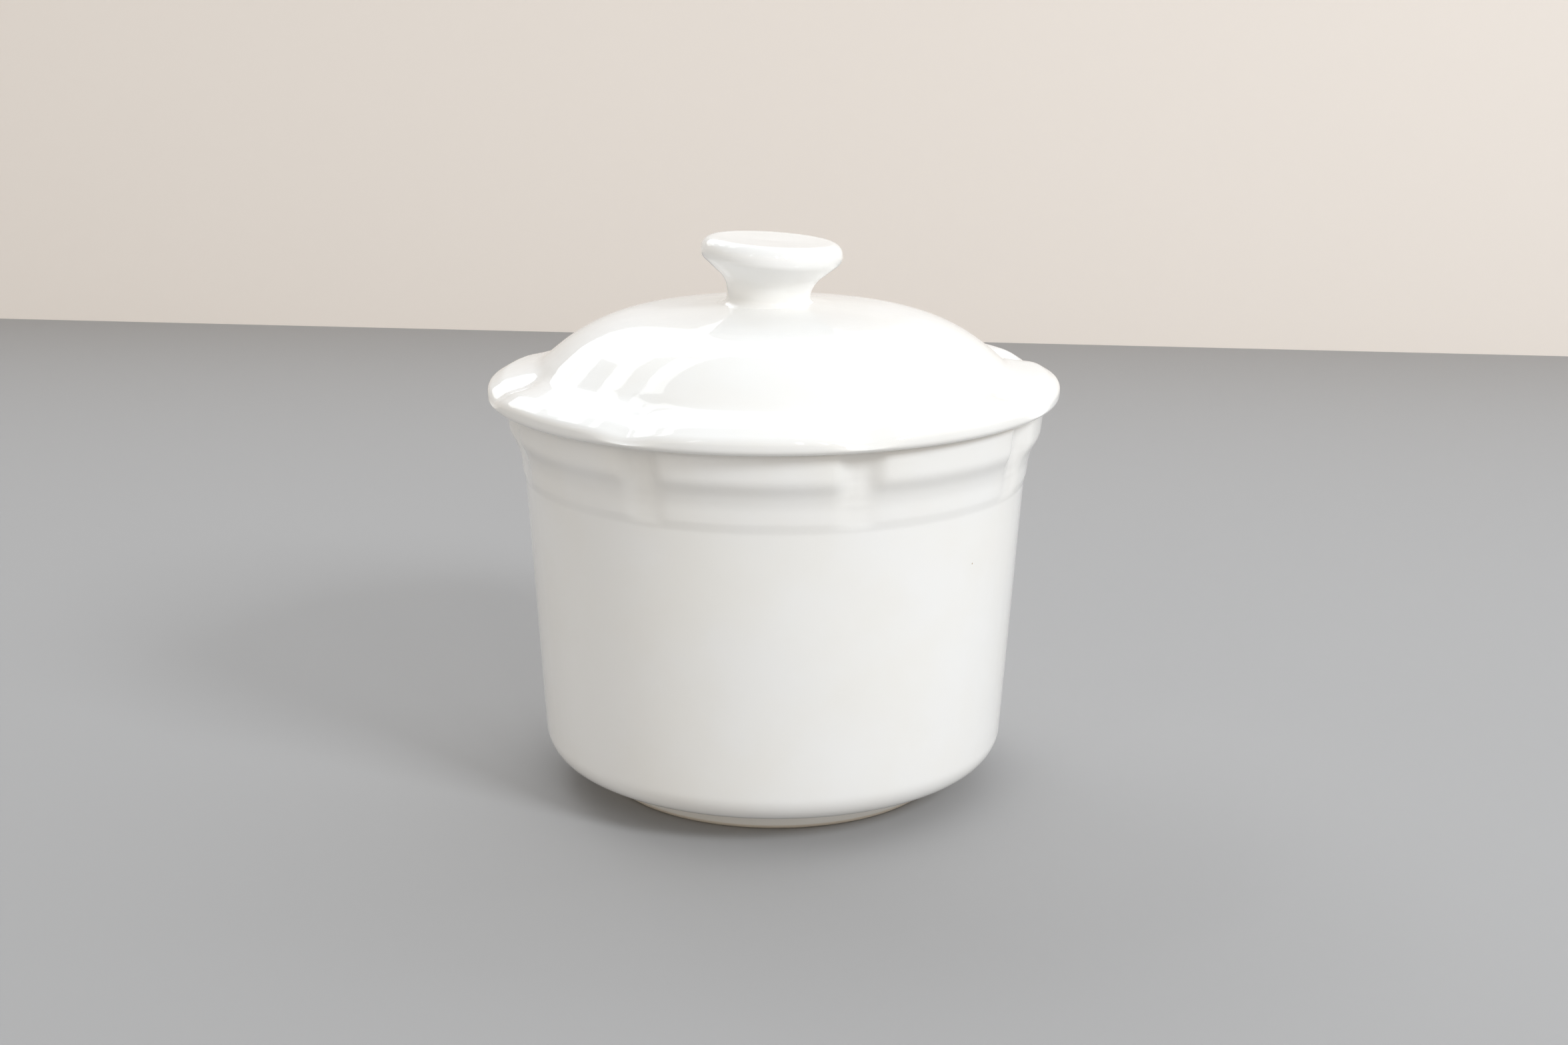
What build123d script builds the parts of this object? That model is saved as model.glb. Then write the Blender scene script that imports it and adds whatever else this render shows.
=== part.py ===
"""Covered ceramic jar: a straight-sided jar with a foot ring, a domed lid and a luted knob.

Millimetres, +Z up. The origin is the centre of the foot ring's resting plane.
The middle of one of the eight panels faces -Y, and the flutes stand halfway between panels.
Every point of a profile is (distance from the jar's axis, height above the table).
"""
from build123d import *
from math import cos, radians, sin
import os

# ---- ornament shared by the jar and its lid ----
PANEL_COUNT = 8
PANEL_ANGLE = 360 / PANEL_COUNT
FIRST_FLUTE_ANGLE = PANEL_ANGLE / 2

# ---- jar: foot and floor ----
FOOT_OUTER_RADIUS = 33.9
FOOT_INNER_RADIUS = 29.9
FOOT_HEIGHT = 5.0
FOOT_FLARE = 0.7
FOOT_EDGE_ROUNDING = 0.8
FOOT_ROOT_ROUNDING = 0.9
FOOT_RECESS = 3.4
FOOT_RECESS_TAPER = 0.5
FOOT_RECESS_ROUNDING = 1.5
FLOOR_THICKNESS = 4.6

# ---- jar: wall ----
BASE_RADIUS = 45.4
BASE_ROUNDING = 6.1
WALL_THICKNESS = 4.2
INSIDE_CORNER_ROUNDING = 7.0

# ---- jar: the two stepped bands below the rim, going up ----
WALL_TOP = (48.88, 61.9)
WALL_TOP_ROUNDING = 4.0
LOWER_BAND_FOOT = (49.35, 63.7)
LOWER_BAND_FOOT_ROUNDING = 5.0
LOWER_BAND_FLARE = (49.65, 66.4)
LOWER_BAND_FLARE_ROUNDING = 10.0
LOWER_BAND_TOP = (50.4, 68.8)
LOWER_BAND_TOP_ROUNDING = 8.0
UPPER_BAND_FOOT = (51.8, 71.5)
UPPER_BAND_FOOT_ROUNDING = 5.0

# ---- jar: rim and neck ----
RIM_HEIGHT = 78.0
RIM_OUTER_RADIUS = 52.45
RIM_ROUNDING = 1.6
MOUTH_RADIUS = 47.6
NECK = (46.4, 69.6)
NECK_ROUNDING = 12.0

# ---- jar: flutes between the panels, as deep as the wall's own cone carried upwards ----
FLUTE_CUTTER_RADIUS = 4.2
FLUTE_FLOOR_LOW = (48.95, 61.0)
FLUTE_FLOOR_HIGH = (49.95, 79.0)

# ---- lid: brim ----
SEAT_GAP = 0.15
SEAT_HEIGHT = RIM_HEIGHT + SEAT_GAP
SEAT_OUTER_RADIUS = 53.0
SEAT_STEP_TAPER = 0.5
BRIM_RADIUS = 55.5
BRIM_BOTTOM_HEIGHT = 77.55
BRIM_EDGE_HEIGHT = 80.4
BRIM_EDGE_ROUNDING = 1.3
PETAL_CREST = (52.6, 82.15)
PETAL_CREST_ROUNDING = 4.0
SCALLOP_DEPTH = 0.4

# ---- lid: dome ----
PAD_RADIUS = 10.0
PAD_HEIGHT = 95.4
DOME_SHOULDER = (34.8, 92.35)
DOME_SHOULDER_ROUNDING = 32.0
DOME_ROOT = (45.8, 83.4)
DOME_ROOT_ROUNDING = 5.0
SHELL_THICKNESS = 4.2
VAULT_SHOULDER = (32.6, 88.4)
VAULT_SHOULDER_ROUNDING = 28.0
VAULT_SPRING_RISE = 2.0
VAULT_SPRING_ROUNDING = 4.0

# ---- lid: locating collar under the brim ----
COLLAR_OUTER_RADIUS = 45.9
COLLAR_INNER_RADIUS = 42.4
COLLAR_BOTTOM_HEIGHT = 72.0
COLLAR_TAPER = 0.4
COLLAR_ROUNDING = 1.3
COLLAR_ROOT_ROUNDING = 0.6

# ---- lid: creases between the petals ----
CREASE_CUTTER_RADIUS = 10.0
CREASE_FLOOR_INNER = (45.2, 84.5)
CREASE_FLOOR_OUTER = (57.0, 78.9)

# ---- knob ----
KNOB_FOOT_RADIUS = 9.4
KNOB_NECK_RADIUS = 8.1
KNOB_NECK_FOOT_HEIGHT = 1.2
KNOB_NECK_FOOT_ROUNDING = 1.0
KNOB_NECK_TOP_HEIGHT = 3.9
KNOB_NECK_TOP_ROUNDING = 5.0
KNOB_RADIUS = 13.65
KNOB_UNDERSIDE_HEIGHT = 9.2
KNOB_UNDERSIDE_ROUNDING = 1.8
KNOB_TOP_HEIGHT = 12.2
KNOB_TOP_ROUNDING = 1.9
KNOB_DISH_DEPTH = 0.3
KNOB_ROOT_LENGTH = 2.0
KNOB_LEAN = 3.3
KNOB_LEAN_DIRECTION = 5.4


def on_profile(point):
    """Place a (radius, height) point in the XZ plane."""
    return (point[0], 0, point[1])


def turned(corners):
    """Revolve a closed outline of (point, rounding) corners about the jar's axis."""
    outline = FilletPolyline(
        [on_profile(point) for point, _ in corners],
        radius=[rounding for _, rounding in corners],
        close=True,
    )
    return revolve(make_face(outline), axis=Axis.Z)


def around_flutes(cutter):
    """Repeat a cutter made for angle zero at each flute."""
    angles = [FIRST_FLUTE_ANGLE + step * PANEL_ANGLE for step in range(PANEL_COUNT)]
    return [cutter.rotate(Axis.Z, angle) for angle in angles]


def groove_cutter(inner, outer, radius):
    """A round bar whose lowest line runs from the inner to the outer (radius, height) point."""
    start = Vector(*on_profile(inner))
    run = Vector(*on_profile(outer)) - start
    direction = run.normalized()
    away_from_surface = Vector(abs(direction.Z), 0, abs(direction.X))
    if direction.Z > 0:
        away_from_surface.Z = -away_from_surface.Z
    plane = Plane(origin=start + away_from_surface * radius, z_dir=direction)
    return plane * Cylinder(radius, run.length, align=(Align.CENTER, Align.CENTER, Align.MIN))


def make_jar():
    """The jar: foot ring, floor, wall, stepped bands and rim, fluted between its panels."""
    floor_height = FOOT_RECESS + FLOOR_THICKNESS
    corners = [
        ((0, FOOT_RECESS), 0),
        ((FOOT_INNER_RADIUS - FOOT_RECESS_TAPER, FOOT_RECESS), FOOT_RECESS_ROUNDING),
        ((FOOT_INNER_RADIUS, 0), FOOT_EDGE_ROUNDING),
        ((FOOT_OUTER_RADIUS, 0), FOOT_EDGE_ROUNDING),
        ((FOOT_OUTER_RADIUS + FOOT_FLARE, FOOT_HEIGHT), FOOT_ROOT_ROUNDING),
        ((BASE_RADIUS, FOOT_HEIGHT), BASE_ROUNDING),
        (WALL_TOP, WALL_TOP_ROUNDING),
        (LOWER_BAND_FOOT, LOWER_BAND_FOOT_ROUNDING),
        (LOWER_BAND_FLARE, LOWER_BAND_FLARE_ROUNDING),
        (LOWER_BAND_TOP, LOWER_BAND_TOP_ROUNDING),
        (UPPER_BAND_FOOT, UPPER_BAND_FOOT_ROUNDING),
        ((RIM_OUTER_RADIUS, RIM_HEIGHT), RIM_ROUNDING),
        ((MOUTH_RADIUS, RIM_HEIGHT), RIM_ROUNDING),
        (NECK, NECK_ROUNDING),
        ((WALL_TOP[0] - WALL_THICKNESS, WALL_TOP[1]), NECK_ROUNDING),
        ((BASE_RADIUS - WALL_THICKNESS, floor_height), INSIDE_CORNER_ROUNDING),
        ((0, floor_height), 0),
    ]
    jar = turned(corners)
    flute = groove_cutter(FLUTE_FLOOR_LOW, FLUTE_FLOOR_HIGH, FLUTE_CUTTER_RADIUS)
    for cutter in around_flutes(flute):
        jar = jar - cutter
    return jar


def make_petal_outline():
    """A tall prism whose plan is the brim's eight shallow scallops."""
    crease_radius = BRIM_RADIUS - SCALLOP_DEPTH
    arcs = []
    for step in range(PANEL_COUNT):
        middle = radians(step * PANEL_ANGLE)
        half = radians(PANEL_ANGLE / 2)
        ends = [
            (crease_radius * cos(middle + side * half), crease_radius * sin(middle + side * half))
            for side in (-1, 1)
        ]
        crest = (BRIM_RADIUS * cos(middle), BRIM_RADIUS * sin(middle))
        arcs.append(ThreePointArc(ends[0], crest, ends[1]))
    plan = make_face(Curve() + arcs)
    prism = extrude(plan, amount=PAD_HEIGHT)
    return Pos(0, 0, COLLAR_BOTTOM_HEIGHT / 2) * prism


def make_lid():
    """The lid: brim with petals, dome with a flat pad for the knob, and locating collar."""
    corners = [
        ((0, PAD_HEIGHT), 0),
        ((PAD_RADIUS, PAD_HEIGHT), 0),
        (DOME_SHOULDER, DOME_SHOULDER_ROUNDING),
        (DOME_ROOT, DOME_ROOT_ROUNDING),
        (PETAL_CREST, PETAL_CREST_ROUNDING),
        ((BRIM_RADIUS, BRIM_EDGE_HEIGHT), BRIM_EDGE_ROUNDING),
        ((BRIM_RADIUS, BRIM_BOTTOM_HEIGHT), BRIM_EDGE_ROUNDING),
        ((SEAT_OUTER_RADIUS, BRIM_BOTTOM_HEIGHT), 0),
        ((SEAT_OUTER_RADIUS - SEAT_STEP_TAPER, SEAT_HEIGHT), 0),
        ((COLLAR_OUTER_RADIUS, SEAT_HEIGHT), COLLAR_ROOT_ROUNDING),
        ((COLLAR_OUTER_RADIUS - COLLAR_TAPER, COLLAR_BOTTOM_HEIGHT), COLLAR_ROUNDING),
        ((COLLAR_INNER_RADIUS, COLLAR_BOTTOM_HEIGHT), COLLAR_ROUNDING),
        ((COLLAR_INNER_RADIUS - COLLAR_TAPER, SEAT_HEIGHT + VAULT_SPRING_RISE), VAULT_SPRING_ROUNDING),
        (VAULT_SHOULDER, VAULT_SHOULDER_ROUNDING),
        ((0, PAD_HEIGHT - SHELL_THICKNESS), 0),
    ]
    lid = turned(corners) & make_petal_outline()
    crease = groove_cutter(CREASE_FLOOR_INNER, CREASE_FLOOR_OUTER, CREASE_CUTTER_RADIUS)
    for cutter in around_flutes(crease):
        lid = lid - cutter
    return lid


def make_knob():
    """The knob: a waisted stem under a flat button, leaning as it was stuck on."""
    corners = [
        ((0, -KNOB_ROOT_LENGTH), 0),
        ((KNOB_FOOT_RADIUS, -KNOB_ROOT_LENGTH), 0),
        ((KNOB_FOOT_RADIUS, 0), 0),
        ((KNOB_NECK_RADIUS, KNOB_NECK_FOOT_HEIGHT), KNOB_NECK_FOOT_ROUNDING),
        ((KNOB_NECK_RADIUS, KNOB_NECK_TOP_HEIGHT), KNOB_NECK_TOP_ROUNDING),
        ((KNOB_RADIUS, KNOB_UNDERSIDE_HEIGHT), KNOB_UNDERSIDE_ROUNDING),
        ((KNOB_RADIUS, KNOB_TOP_HEIGHT), KNOB_TOP_ROUNDING),
        ((0, KNOB_TOP_HEIGHT - KNOB_DISH_DEPTH), 0),
    ]
    knob = turned(corners).rotate(Axis.Y, KNOB_LEAN).rotate(Axis.Z, KNOB_LEAN_DIRECTION)
    side = 4 * KNOB_RADIUS
    below_pad = Box(side, side, side, align=(Align.CENTER, Align.CENTER, Align.MAX))
    return Pos(0, 0, PAD_HEIGHT) * (knob - below_pad)


os.makedirs("parts", exist_ok=True)
for name, shape in (("jar", make_jar()), ("lid", make_lid()), ("knob", make_knob())):
    solid = shape.solids()[0]
    solid.label = name
    export_step(solid, f"parts/{name}.step")
    size = solid.bounding_box().size
    print(f"{name}: {solid.volume / 1000:.2f} cm3, {size.X:.1f} x {size.Y:.1f} x {size.Z:.1f} mm")
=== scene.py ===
"""Looks of the covered ceramic jar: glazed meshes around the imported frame, floor, light and camera.

Lengths of the design are in millimetres here, as on its drawing, and turn into metres in build_mesh.
A profile is a list of corners, each ((distance from the axis, height), rounding).
"""
import math

import bpy
import numpy as np
from mathutils import Matrix, Vector


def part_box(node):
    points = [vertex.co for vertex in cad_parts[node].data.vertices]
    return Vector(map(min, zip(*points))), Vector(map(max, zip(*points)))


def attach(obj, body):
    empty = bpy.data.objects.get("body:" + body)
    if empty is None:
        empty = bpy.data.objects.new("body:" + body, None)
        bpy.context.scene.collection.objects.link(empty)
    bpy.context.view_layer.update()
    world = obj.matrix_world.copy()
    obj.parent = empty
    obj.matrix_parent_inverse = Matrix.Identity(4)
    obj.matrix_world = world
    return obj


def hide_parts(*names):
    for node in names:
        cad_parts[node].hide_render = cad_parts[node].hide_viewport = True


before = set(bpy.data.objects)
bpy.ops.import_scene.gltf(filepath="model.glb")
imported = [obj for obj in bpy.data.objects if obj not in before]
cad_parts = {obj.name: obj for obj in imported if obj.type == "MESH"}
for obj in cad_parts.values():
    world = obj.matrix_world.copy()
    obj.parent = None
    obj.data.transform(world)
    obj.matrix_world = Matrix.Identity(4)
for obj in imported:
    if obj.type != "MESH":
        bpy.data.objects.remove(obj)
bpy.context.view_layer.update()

MM = 0.001

# ---- what the frame says ----
jar_low, jar_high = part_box("jar")
lid_low, lid_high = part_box("lid")
RIM_HEIGHT = jar_high.z / MM
RIM_RADIUS = jar_high.x / MM
BRIM_RADIUS = lid_high.x / MM
COLLAR_BOTTOM = lid_low.z / MM
PAD_HEIGHT = lid_high.z / MM

# ---- ornament ----
PANEL_COUNT = 8
PANEL_ANGLE = 360.0 / PANEL_COUNT


def smoothstep(low, high, value):
    """0 below low, 1 above high and a smooth rise between."""
    t = np.clip((value - low) / (high - low), 0.0, 1.0)
    return t * t * (3.0 - 2.0 * t)


def off_flute(angle):
    """Degrees from the nearest flute, which stands halfway between two panels."""
    return (angle % PANEL_ANGLE) - PANEL_ANGLE / 2


def bell(offset, spread, power=2.0):
    """1 at no offset, fading on both sides like a soft hollow; spread is its half width at 0.6."""
    return np.exp(-0.5 * np.abs(offset / spread) ** power)


# ---------------------------------------------------------------- profiles

ROW_STEP = 0.6
NEAR_AXIS = 0.4  # a profile's ends stay this far from the axis, and a point closes them


def corner_arc(before, corner, after, rounding, step):
    """Points of the arc that rounds one corner of a profile."""
    a = before - corner
    b = after - corner
    la = np.linalg.norm(a)
    lb = np.linalg.norm(b)
    a = a / la
    b = b / lb
    half = math.acos(max(-1.0, min(1.0, float(a @ b)))) / 2
    reach = rounding / math.tan(half)
    start = corner + a * reach
    end = corner + b * reach
    centre = corner + (a + b) / np.linalg.norm(a + b) * rounding / math.sin(half)
    turn = math.pi - 2 * half
    count = max(3, int(math.ceil(rounding * turn / step)))
    first = start - centre
    last = end - centre
    points = []
    for i in range(count + 1):
        t = i / count
        blend = (first * math.sin((1 - t) * turn) + last * math.sin(t * turn)) / math.sin(turn)
        points.append(centre + blend)
    return points


def rounded_profile(corners, step, most_in_run=12):
    """A dense open outline through corners ((radius, height), rounding).

    Its points are at most step apart, but a long straight run is only cut into most_in_run.
    """
    spots = [np.array(c[0], float) for c in corners]
    runs = [[spots[0]]]
    for i in range(1, len(spots) - 1):
        rounding = corners[i][1]
        if rounding > 0:
            runs.append(corner_arc(spots[i - 1], spots[i], spots[i + 1], rounding, step))
        else:
            runs.append([spots[i]])
    runs.append([spots[-1]])
    points = []
    for run in runs:
        if points:
            gap = run[0] - points[-1]
            count = min(int(math.ceil(np.linalg.norm(gap) / step)), most_in_run)
            start = points[-1]
            for i in range(1, count):
                points.append(start + gap * i / count)
        points.extend(run)
    return np.array(points)


def panel_angles(coarse=1.5, fine=0.3, fine_reach=6.0):
    """Angles of the mesh columns, close together at the flutes and wider on the panels."""
    half = PANEL_ANGLE / 2
    plain = np.arange(0.0, half - fine_reach, coarse)
    near = np.arange(half - fine_reach, half + fine_reach, fine)
    beyond = np.arange(half + fine_reach, PANEL_ANGLE, coarse)
    one = np.concatenate([plain, near, beyond])
    return np.concatenate([one + PANEL_ANGLE * i for i in range(PANEL_COUNT)])


def build_mesh(name, rings):
    """A closed turned mesh from rings, an array (rows, columns, 3) in millimetres.

    The first and the last ring are small, and each is closed to one point in its middle.
    """
    rows, columns, _ = rings.shape
    index = np.arange(rows * columns).reshape(rows, columns)
    following = np.roll(index, -1, axis=1)
    quads = np.stack([index[:-1], following[:-1], following[1:], index[1:]], -1).reshape(-1, 4)
    faces = list(map(tuple, quads.tolist()))
    first_tip = rows * columns
    last_tip = first_tip + 1
    faces.extend((first_tip, b, a) for a, b in zip(index[0].tolist(), following[0].tolist()))
    faces.extend((last_tip, a, b) for a, b in zip(index[-1].tolist(), following[-1].tolist()))
    tips = [rings[0].mean(0), rings[-1].mean(0)]
    vertices = np.concatenate([rings.reshape(-1, 3), tips]) * MM
    mesh = bpy.data.meshes.new(name)
    mesh.from_pydata(vertices.tolist(), [], faces)
    mesh.update()
    mesh.validate()
    mesh.polygons.foreach_set("use_smooth", [True] * len(mesh.polygons))
    piece = bpy.data.objects.new(name, mesh)
    bpy.context.scene.collection.objects.link(piece)
    return piece


def turned_grid(profile, angles):
    """Radius and height of every point of a turned piece, each of shape (rows, columns)."""
    flat = 0 * angles[None, :]
    return profile[:, 0][:, None] + flat, profile[:, 1][:, None] + flat


def turned_rings(radius, height, angles):
    """Points (rows, columns, 3) from radius and height arrays of shape (rows, columns)."""
    turn = np.radians(angles)[None, :]
    return np.stack([radius * np.cos(turn), radius * np.sin(turn), height], -1)


# ---------------------------------------------------------------- the jar

FOOT_RECESS = 3.4
FLOOR_HEIGHT = 8.0
BASE = (45.4, 5.0)
WALL_TOP = (48.88, 61.9)
WALL_THICKNESS = 4.2
RIM_ROUNDING = 1.6
RIM_CUT_BACK = 0.17  # how far the rim's rounding cuts its sharp corner back
RIM_CORNER = RIM_RADIUS + RIM_CUT_BACK
FOOT_CORNERS = [
    ((NEAR_AXIS, FOOT_RECESS), 0),
    ((29.4, FOOT_RECESS), 1.5),
    ((29.9, 0.0), 0.8),
    ((33.9, 0.0), 0.8),
    ((34.6, 5.0), 0.9),
]
WALL_CORNERS = [
    (BASE, 6.1),
    (WALL_TOP, 4.0),
    ((49.35, 63.7), 5.0),
    ((49.7, 66.9), 10.0),
    ((50.35, 69.0), 8.0),
    ((51.8, 71.6), 5.0),
    ((RIM_CORNER, RIM_HEIGHT), RIM_ROUNDING),
]
INNER_CORNERS = [
    ((47.6, RIM_HEIGHT), RIM_ROUNDING),
    ((46.4, 69.6), 12.0),
    ((WALL_TOP[0] - WALL_THICKNESS, WALL_TOP[1]), 12.0),
    ((BASE[0] - WALL_THICKNESS, FLOOR_HEIGHT), 7.0),
    ((NEAR_AXIS, FLOOR_HEIGHT), 0),
]
FLUTE_SPREAD = 3.1
FLUTE_FLATNESS = 3.0
FLUTE_START = (49.4, 66.4)
FLUTE_SLOPE = 0.095
FLUTE_SCOOP = 0.15
FLUTE_SCOOP_SPREAD = 2.0
FLUTE_FADE = (60.0, 64.0)  # heights between which the flutes begin
RIM_CORE_RADIUS = 48.0  # nothing nearer the axis than this gives way to a flute


def flute_floor(height):
    """Radius of the flutes' floor: a line nearly straight up, with a slight scoop at its foot."""
    above = height - FLUTE_START[1]
    return FLUTE_START[0] + FLUTE_SLOPE * above - FLUTE_SCOOP * bell(above, FLUTE_SCOOP_SPREAD)


def make_jar():
    """Foot ring, floor, wall with its two stepped bands, rim and eight flutes."""
    profile = rounded_profile(FOOT_CORNERS + WALL_CORNERS + INNER_CORNERS, ROW_STEP)
    angles = panel_angles()
    radius, height = turned_grid(profile, angles)
    flute = bell(off_flute(angles)[None, :], FLUTE_SPREAD, FLUTE_FLATNESS)
    wall = np.array([spot for spot, _ in WALL_CORNERS])
    outer_radius = np.interp(height, wall[:, 1], wall[:, 0])
    depth = np.maximum(outer_radius - flute_floor(height), 0.0) * smoothstep(*FLUTE_FADE, height)
    share = np.clip((radius - RIM_CORE_RADIUS) / (outer_radius - RIM_CORE_RADIUS), 0.0, 1.0)
    radius = radius - flute * depth * share
    return build_mesh("jar_glazed", turned_rings(radius, height, angles))


# ---------------------------------------------------------------- the lid

SEAT_GAP = 0.15
SEAT_HEIGHT = RIM_HEIGHT + SEAT_GAP
BRIM_BOTTOM = 77.55
BRIM_EDGE = 80.4
SEAT_OUTER_RADIUS = 52.6
SHELL_THICKNESS = 4.2
LID_CORNERS = [
    ((NEAR_AXIS, PAD_HEIGHT + 0.35), 0),
    ((9.0, PAD_HEIGHT + 0.1), 60.0),
    ((34.8, 92.35), 32.0),
    ((45.8, 83.4), 5.0),
    ((52.6, 82.15), 4.0),
    ((BRIM_RADIUS, BRIM_EDGE), 1.5),
    ((BRIM_RADIUS, BRIM_BOTTOM), 1.15),
    ((53.0, BRIM_BOTTOM), 0.5),
    ((SEAT_OUTER_RADIUS, SEAT_HEIGHT), 0.5),
    ((45.9, SEAT_HEIGHT), 0.6),
    ((45.5, COLLAR_BOTTOM), 1.3),
    ((42.4, COLLAR_BOTTOM), 1.3),
    ((42.0, SEAT_HEIGHT + 2.0), 4.0),
    ((32.6, 88.4), 28.0),
    ((NEAR_AXIS, PAD_HEIGHT - SHELL_THICKNESS), 0),
]
PETAL_DROOP = 0.45
CREASE_DEPTH = 0.85
CREASE_SPREAD = 3.6
CREASE_PULL = 0.4
TOP_HEIGHTS = (78.0, 80.0)  # heights between which the brim's edge turns into its top
TOP_RADII = (43.5, 50.0)  # the petals rise out of the dome's root between these radii
EDGE_HEIGHTS = (78.4, 80.0)
EDGE_RADII = (50.0, BRIM_RADIUS)
WARP_RADII = (44.0, 53.2)  # the warp grows from nothing to its whole between these radii
WARP_SIDEWAYS = 0.5
WARP_FRONT = 0.2
LID_SHIFT = 0.3


def make_lid():
    """Dome, petalled brim, seat and locating collar, with the slight warp of a fired lid."""
    profile = rounded_profile(LID_CORNERS, ROW_STEP)
    angles = panel_angles(1.5, 0.6, 12.0)
    radius, height = turned_grid(profile, angles)
    off = off_flute(angles)[None, :]
    crease = bell(off, CREASE_SPREAD)
    from_crest = 1.0 - np.abs(off) / (PANEL_ANGLE / 2)
    lowered = CREASE_DEPTH * crease + PETAL_DROOP * from_crest**2
    on_top = smoothstep(*TOP_HEIGHTS, height) * smoothstep(*TOP_RADII, radius)
    on_edge = smoothstep(*EDGE_HEIGHTS, height) * smoothstep(*EDGE_RADII, radius)
    across = np.cos(np.radians(angles))[None, :]
    tilt = WARP_SIDEWAYS * across - WARP_FRONT * (1.0 - across**2)
    seat_starts = np.flatnonzero(profile[:, 0] > SEAT_OUTER_RADIUS).max()
    before_seat = (np.arange(len(profile)) <= seat_starts)[:, None]
    on_brim = before_seat * smoothstep(*WARP_RADII, radius)
    radius = radius - on_edge * CREASE_PULL * crease
    height = height - on_top * lowered + on_brim * tilt
    rings = turned_rings(radius, height, angles)
    rings[:, :, 0] -= LID_SHIFT
    return build_mesh("lid_glazed", rings[::-1])


# ---------------------------------------------------------------- the knob

KNOB_AXIS_GAP = 0.3
KNOB_CORNERS = [
    ((KNOB_AXIS_GAP, -1.2), 0),
    ((10.6, -1.2), 0),
    ((10.5, -0.5), 0.2),
    ((9.9, -0.12), 0.4),
    ((8.1, -0.12), 1.4),
    ((8.1, 3.9), 5.0),
    ((13.7, 8.6), 2.1),
    ((13.7, 12.2), 2.3),
    ((KNOB_AXIS_GAP, 11.9), 0),
]
KNOB_ROW_STEP = 0.3
KNOB_COLUMN_STEP = 2.0
KNOB_LEAN = 3.3
KNOB_LEAN_DIRECTION = 5.4
KNOB_LEAN_FADE = (0.3, 4.0)  # heights above the pad between which the lean begins
KNOB_OFFSET = 1.45


def make_knob():
    """A waisted stem under a flat button, leaning and a little off centre as it was stuck on."""
    profile = rounded_profile(KNOB_CORNERS, KNOB_ROW_STEP)
    angles = np.arange(0.0, 360.0, KNOB_COLUMN_STEP)
    radius, height = turned_grid(profile, angles)
    rings = turned_rings(radius, height, angles)
    slope = math.tan(math.radians(KNOB_LEAN)) * smoothstep(*KNOB_LEAN_FADE, height)
    along = rings[:, :, 0].copy()
    rings[:, :, 0] += slope * height - KNOB_OFFSET
    rings[:, :, 2] += PAD_HEIGHT - slope * along
    turn = np.array(Matrix.Rotation(math.radians(KNOB_LEAN_DIRECTION), 3, "Z"))
    return build_mesh("knob_glazed", rings @ turn.T)


# ---------------------------------------------------------------- materials

def principled(name):
    """A new node material and its shader."""
    material = bpy.data.materials.new(name)
    material.use_nodes = True
    return material, material.node_tree.nodes["Principled BSDF"]


def noise(nodes, links, place, scale, detail):
    """A noise over the object's own coordinates; scale counts its cells per metre."""
    node = nodes.new("ShaderNodeTexNoise")
    node.inputs["Scale"].default_value = scale
    node.inputs["Detail"].default_value = detail
    links.new(place.outputs["Object"], node.inputs["Vector"])
    return node.outputs["Fac"]


def step_between(nodes, links, value, low, high, at_low, at_high):
    """value mapped smoothly from at_low, at low and below, to at_high, at high and above."""
    node = nodes.new("ShaderNodeMapRange")
    node.interpolation_type = "SMOOTHSTEP"
    node.inputs["From Min"].default_value = low
    node.inputs["From Max"].default_value = high
    node.inputs["To Min"].default_value = at_low
    node.inputs["To Max"].default_value = at_high
    links.new(value, node.inputs["Value"])
    return node.outputs["Result"]


# Places of the colour sockets on a Mix node, which share their names with its other kinds.
MIX_FIRST_COLOUR = 6
MIX_SECOND_COLOUR = 7
MIX_COLOUR_RESULT = 2


def blended(nodes, links, factor, first, second):
    """Colour first where factor is 0 and second where it is 1; either may be a socket."""
    node = nodes.new("ShaderNodeMix")
    node.data_type = "RGBA"
    links.new(factor, node.inputs["Factor"])
    for place, colour in ((MIX_FIRST_COLOUR, first), (MIX_SECOND_COLOUR, second)):
        socket = node.inputs[place]
        if isinstance(colour, tuple):
            socket.default_value = (*colour, 1.0)
        else:
            links.new(colour, socket)
    return node.outputs[MIX_COLOUR_RESULT]


SPECK_CELLS = 100.0  # cells per metre
SPECK_EDGE = (0.010, 0.022)  # distances from a cell's centre, in cells, where a speck fades out
SPECK_CHOICE = (0.915, 0.92)  # a cell whose random number lies above these has a speck


def specks(nodes, links, place):
    """1 in a few pin-sized iron specks, 0 elsewhere: one cell in twelve of a 10 mm grid has one."""
    cells = nodes.new("ShaderNodeTexVoronoi")
    cells.inputs["Scale"].default_value = SPECK_CELLS
    links.new(place.outputs["Object"], cells.inputs["Vector"])
    parts = nodes.new("ShaderNodeSeparateColor")
    links.new(cells.outputs["Color"], parts.inputs["Color"])
    spot = step_between(nodes, links, cells.outputs["Distance"], *SPECK_EDGE, 1.0, 0.0)
    chosen = step_between(nodes, links, parts.outputs["Red"], *SPECK_CHOICE, 0.0, 1.0)
    both = nodes.new("ShaderNodeMath")
    both.operation = "MULTIPLY"
    links.new(spot, both.inputs[0])
    links.new(chosen, both.inputs[1])
    return both.outputs["Value"]


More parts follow.
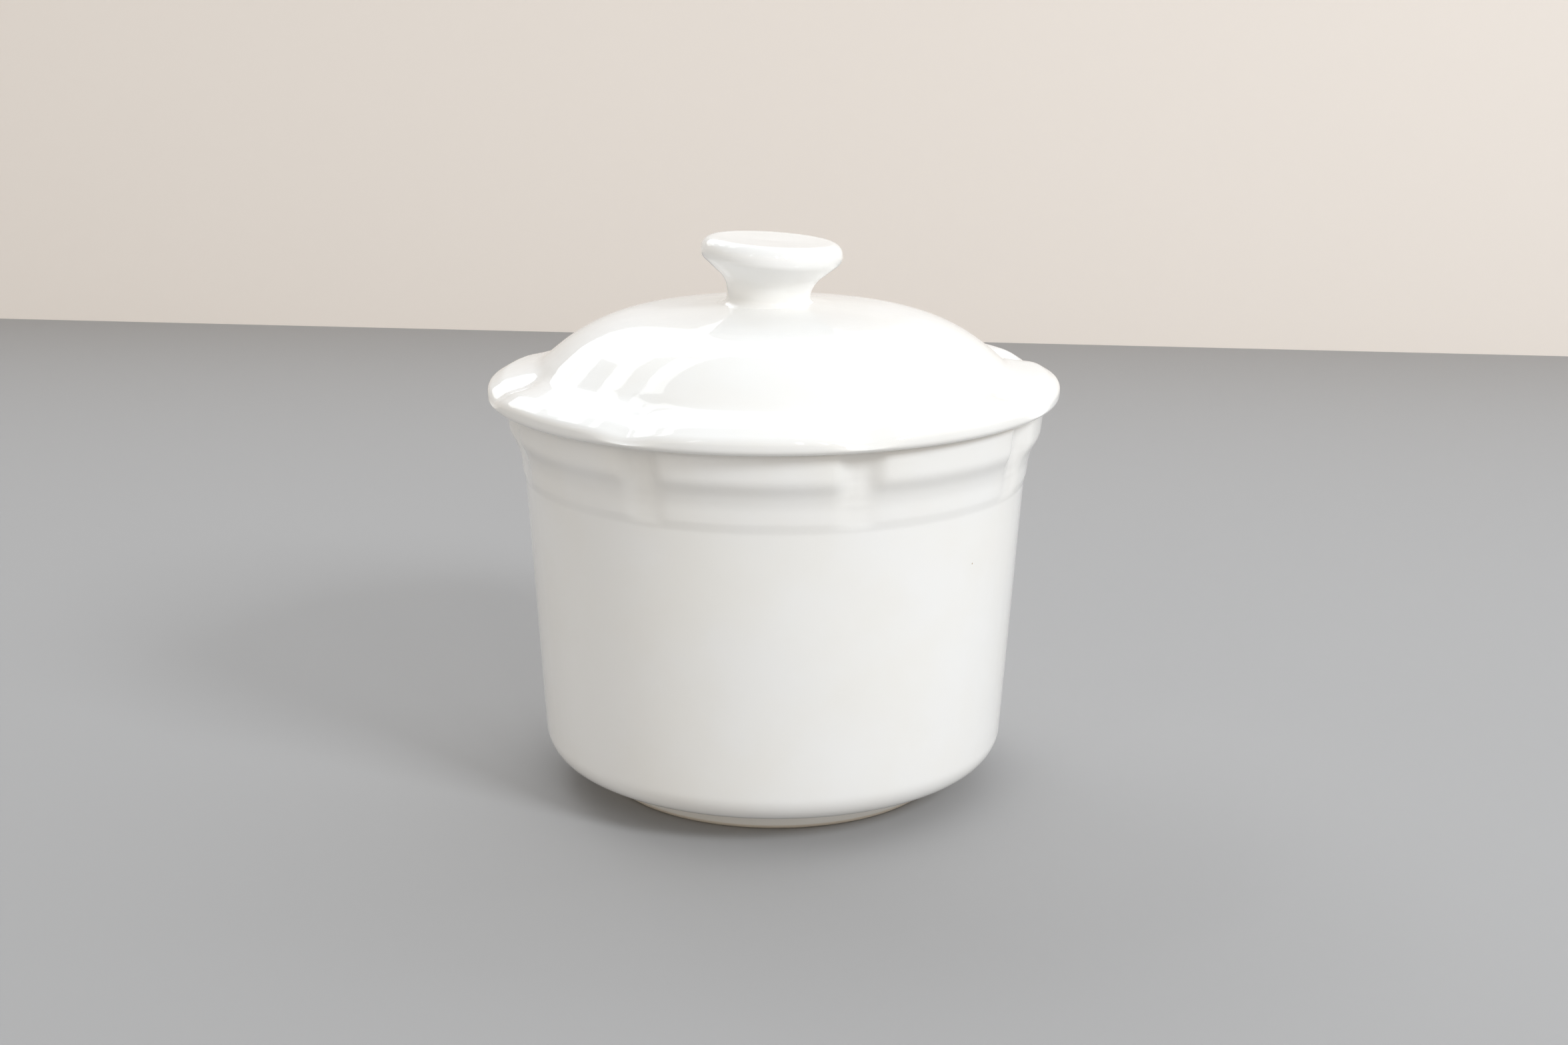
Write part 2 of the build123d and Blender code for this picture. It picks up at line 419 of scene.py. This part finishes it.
WHITE = (0.86, 0.86, 0.855)
THIN_GLAZE = (0.985, 0.975, 0.955)  # what thin glaze leaves of each colour
SPECK_COLOUR = (0.45, 0.36, 0.27)
BARE_COLOUR = (0.68, 0.62, 0.54)
BARE_HEIGHTS = (0.0006, 0.0010)  # metres above the table where the foot's bare edge ends
GLAZE_ROUGHNESS = 0.05
BARE_ROUGHNESS = 0.75
CLOUD_SCALE = 45.0
CLOUD_RANGE = (0.3, 0.7)
WAVE_SCALE = 38.0
PEEL_SCALE = 450.0


def bump(nodes, links, height, strength, distance):
    """A bump from a height socket; distance is in metres."""
    node = nodes.new("ShaderNodeBump")
    node.inputs["Strength"].default_value = strength
    node.inputs["Distance"].default_value = distance
    links.new(height, node.inputs["Height"])
    return node


def glaze(name, colour, bare_foot=False):
    """White gloss glaze: slight cloudiness, iron specks, faint orange peel and slow waviness.

    With bare_foot the lowest millimetre is left unglazed, as a foot ring is wiped for the kiln.
    """
    material, shader = principled(name)
    nodes = material.node_tree.nodes
    links = material.node_tree.links
    shader.inputs["Roughness"].default_value = GLAZE_ROUGHNESS
    shader.inputs["IOR"].default_value = 1.5
    place = nodes.new("ShaderNodeTexCoord")
    clouding = noise(nodes, links, place, CLOUD_SCALE, 3.0)
    cloud = step_between(nodes, links, clouding, *CLOUD_RANGE, 0.0, 1.0)
    thin = tuple(c * f for c, f in zip(colour, THIN_GLAZE))
    skin = blended(nodes, links, cloud, thin, colour)
    skin = blended(nodes, links, specks(nodes, links, place), skin, SPECK_COLOUR)
    if bare_foot:
        split = nodes.new("ShaderNodeSeparateXYZ")
        links.new(place.outputs["Object"], split.inputs["Vector"])
        bare = step_between(nodes, links, split.outputs["Z"], *BARE_HEIGHTS, 1.0, 0.0)
        skin = blended(nodes, links, bare, skin, BARE_COLOUR)
        rough = step_between(nodes, links, bare, 0.0, 1.0, GLAZE_ROUGHNESS, BARE_ROUGHNESS)
        links.new(rough, shader.inputs["Roughness"])
    links.new(skin, shader.inputs["Base Color"])
    waves = bump(nodes, links, noise(nodes, links, place, WAVE_SCALE, 1.0), 0.35, 0.0006)
    peel = bump(nodes, links, noise(nodes, links, place, PEEL_SCALE, 2.0), 0.05, 0.0002)
    links.new(waves.outputs["Normal"], peel.inputs["Normal"])
    links.new(peel.outputs["Normal"], shader.inputs["Normal"])
    return material


# ---------------------------------------------------------------- stage

FLOOR_SIZE = 6.0
FLOOR_COLOUR = (0.36, 0.355, 0.355)
BACKDROP_DISTANCE = 0.5
BACKDROP_HEIGHT = 0.30
BACKDROP_COLOUR = (0.88, 0.82, 0.77)


def stage_sheet(name, corners, colour):
    """One flat matt sheet of the stage, given by its four corners."""
    mesh = bpy.data.meshes.new(name)
    mesh.from_pydata(corners, [], [(0, 1, 2, 3)])
    sheet = bpy.data.objects.new(name, mesh)
    bpy.context.scene.collection.objects.link(sheet)
    sheet.location.z = jar_low.z
    material, shader = principled(name + "_matt")
    shader.inputs["Base Color"].default_value = (*colour, 1.0)
    shader.inputs["Roughness"].default_value = 0.85
    mesh.materials.append(material)


def make_stage():
    """A plain pale floor at the foot of the jar and a low warm white wall well behind it."""
    half = FLOOR_SIZE / 2
    back = BACKDROP_DISTANCE
    top = BACKDROP_HEIGHT
    floor = [(-half, -half, 0), (half, -half, 0), (half, half, 0), (-half, half, 0)]
    wall = [(-half, back, 0), (half, back, 0), (half, back, top), (-half, back, top)]
    stage_sheet("floor", floor, FLOOR_COLOUR)
    stage_sheet("backdrop", wall, BACKDROP_COLOUR)


# ---------------------------------------------------------------- light

AIM_HEIGHT = 0.6 * lid_high.z
COOL = (0.91, 0.955, 1.0)
NEUTRAL = (0.96, 0.985, 1.0)
LAMPS = ((-80, 0.15), (-28, 0.3), (16, 0.5), (31, 0.5), (110, 0.3))  # azimuth and watts
LAMP_SIZE = (0.05, 0.50)


def area_light(name, azimuth, elevation, distance, size, power, colour):
    """A soft light aimed at the jar. Azimuth is counted as the camera's, from -Y towards +X."""
    light = bpy.data.lights.new(name, "AREA")
    light.shape = "RECTANGLE"
    light.size = size[0]
    light.size_y = size[1]
    light.energy = power
    light.color = colour
    lamp = bpy.data.objects.new(name, light)
    a = math.radians(azimuth)
    e = math.radians(elevation)
    aim = Vector((0.0, 0.0, AIM_HEIGHT))
    back = Vector((math.sin(a) * math.cos(e), -math.cos(a) * math.cos(e), math.sin(e)))
    lamp.location = aim + back * distance
    lamp.rotation_euler = (-back).to_track_quat("-Z", "Y").to_euler()
    lamp.visible_camera = False
    bpy.context.scene.collection.objects.link(lamp)


def make_lights():
    """A window at the front right, far lamps all round, and wide soft lights behind."""
    area_light("window", 53, 33, 1.2, (0.30, 0.30), 7.3, COOL)
    for azimuth, power in LAMPS:
        area_light("lamp", azimuth, 30, 1.2, LAMP_SIZE, power, NEUTRAL)
    area_light("behind", 168, 42, 0.9, (1.6, 0.68), 4.7, COOL)
    area_light("left_low", 220, 27, 1.2, (0.57, 0.33), 0.9, NEUTRAL)
    area_light("left_high", 226, 45, 1.25, (0.70, 0.70), 1.2, NEUTRAL)
    area_light("pane_low", 229, 46.5, 1.2, (0.43, 0.15), 0.42, NEUTRAL)
    area_light("pane_high", 236, 59, 1.2, (0.52, 0.13), 0.44, NEUTRAL)


LOW_COLOUR = (1.0, 0.91, 0.78)
HIGH_COLOUR = (0.94, 0.97, 1.0)
COLOUR_TURN = (0.2, 0.8)  # the sine of the elevation where the colour starts and ends to change
LOW_STRENGTH = 0.96
HIGH_STRENGTH = 0.53
STRENGTH_TURN = (0.1, 0.95)


def make_surround():
    """Light from all round, warm and bright at the horizon, cool and dimmer overhead."""
    world = bpy.data.worlds.new("surround")
    bpy.context.scene.world = world
    world.use_nodes = True
    nodes = world.node_tree.nodes
    links = world.node_tree.links
    background = nodes["Background"]
    direction = nodes.new("ShaderNodeTexCoord")
    split = nodes.new("ShaderNodeSeparateXYZ")
    links.new(direction.outputs["Generated"], split.inputs["Vector"])
    rise = split.outputs["Z"]
    upward = step_between(nodes, links, rise, *COLOUR_TURN, 0.0, 1.0)
    links.new(blended(nodes, links, upward, LOW_COLOUR, HIGH_COLOUR), background.inputs["Color"])
    strength = step_between(nodes, links, rise, *STRENGTH_TURN, LOW_STRENGTH, HIGH_STRENGTH)
    links.new(strength, background.inputs["Strength"])


# ---------------------------------------------------------------- camera

CAMERA_AZIMUTH = 5.4
CAMERA_DISTANCE = 0.4183
CAMERA_HEIGHT = 0.1622
CAMERA_PITCH = 14.855
CAMERA_YAW = 0.26
CAMERA_ROLL = 0.48
CAMERA_LENS = 50.0


def make_camera():
    """The camera, a little above the lid and looking down on the jar."""
    data = bpy.data.cameras.new("camera")
    data.lens = CAMERA_LENS
    data.sensor_width = 36.0
    data.clip_start = 0.01
    camera = bpy.data.objects.new("camera", data)
    bpy.context.scene.collection.objects.link(camera)
    a = math.radians(CAMERA_AZIMUTH)
    place = Vector((math.sin(a), -math.cos(a), 0.0)) * CAMERA_DISTANCE
    place.z = jar_low.z + CAMERA_HEIGHT
    heading = Matrix.Rotation(math.radians(CAMERA_AZIMUTH - CAMERA_YAW), 4, "Z")
    pitch = Matrix.Rotation(math.radians(90.0 - CAMERA_PITCH), 4, "X")
    roll = Matrix.Rotation(math.radians(CAMERA_ROLL), 4, "Z")
    camera.matrix_world = Matrix.Translation(place) @ heading @ pitch @ roll
    bpy.context.scene.camera = camera


# ---------------------------------------------------------------- put together

def dress(piece, body, node, material):
    """Give a piece its body and its material, and hide the imported part it stands in for."""
    piece.data.materials.append(material)
    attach(piece, body)
    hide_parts(node)


bpy.context.scene.view_settings.view_transform = "Standard"
make_camera()
make_lights()
make_surround()
make_stage()
dress(make_jar(), "jar", "jar", glaze("jar_glaze", WHITE, True))
dress(make_lid(), "lid", "lid", glaze("lid_glaze", WHITE))
dress(make_knob(), "lid", "knob", glaze("knob_glaze", WHITE))
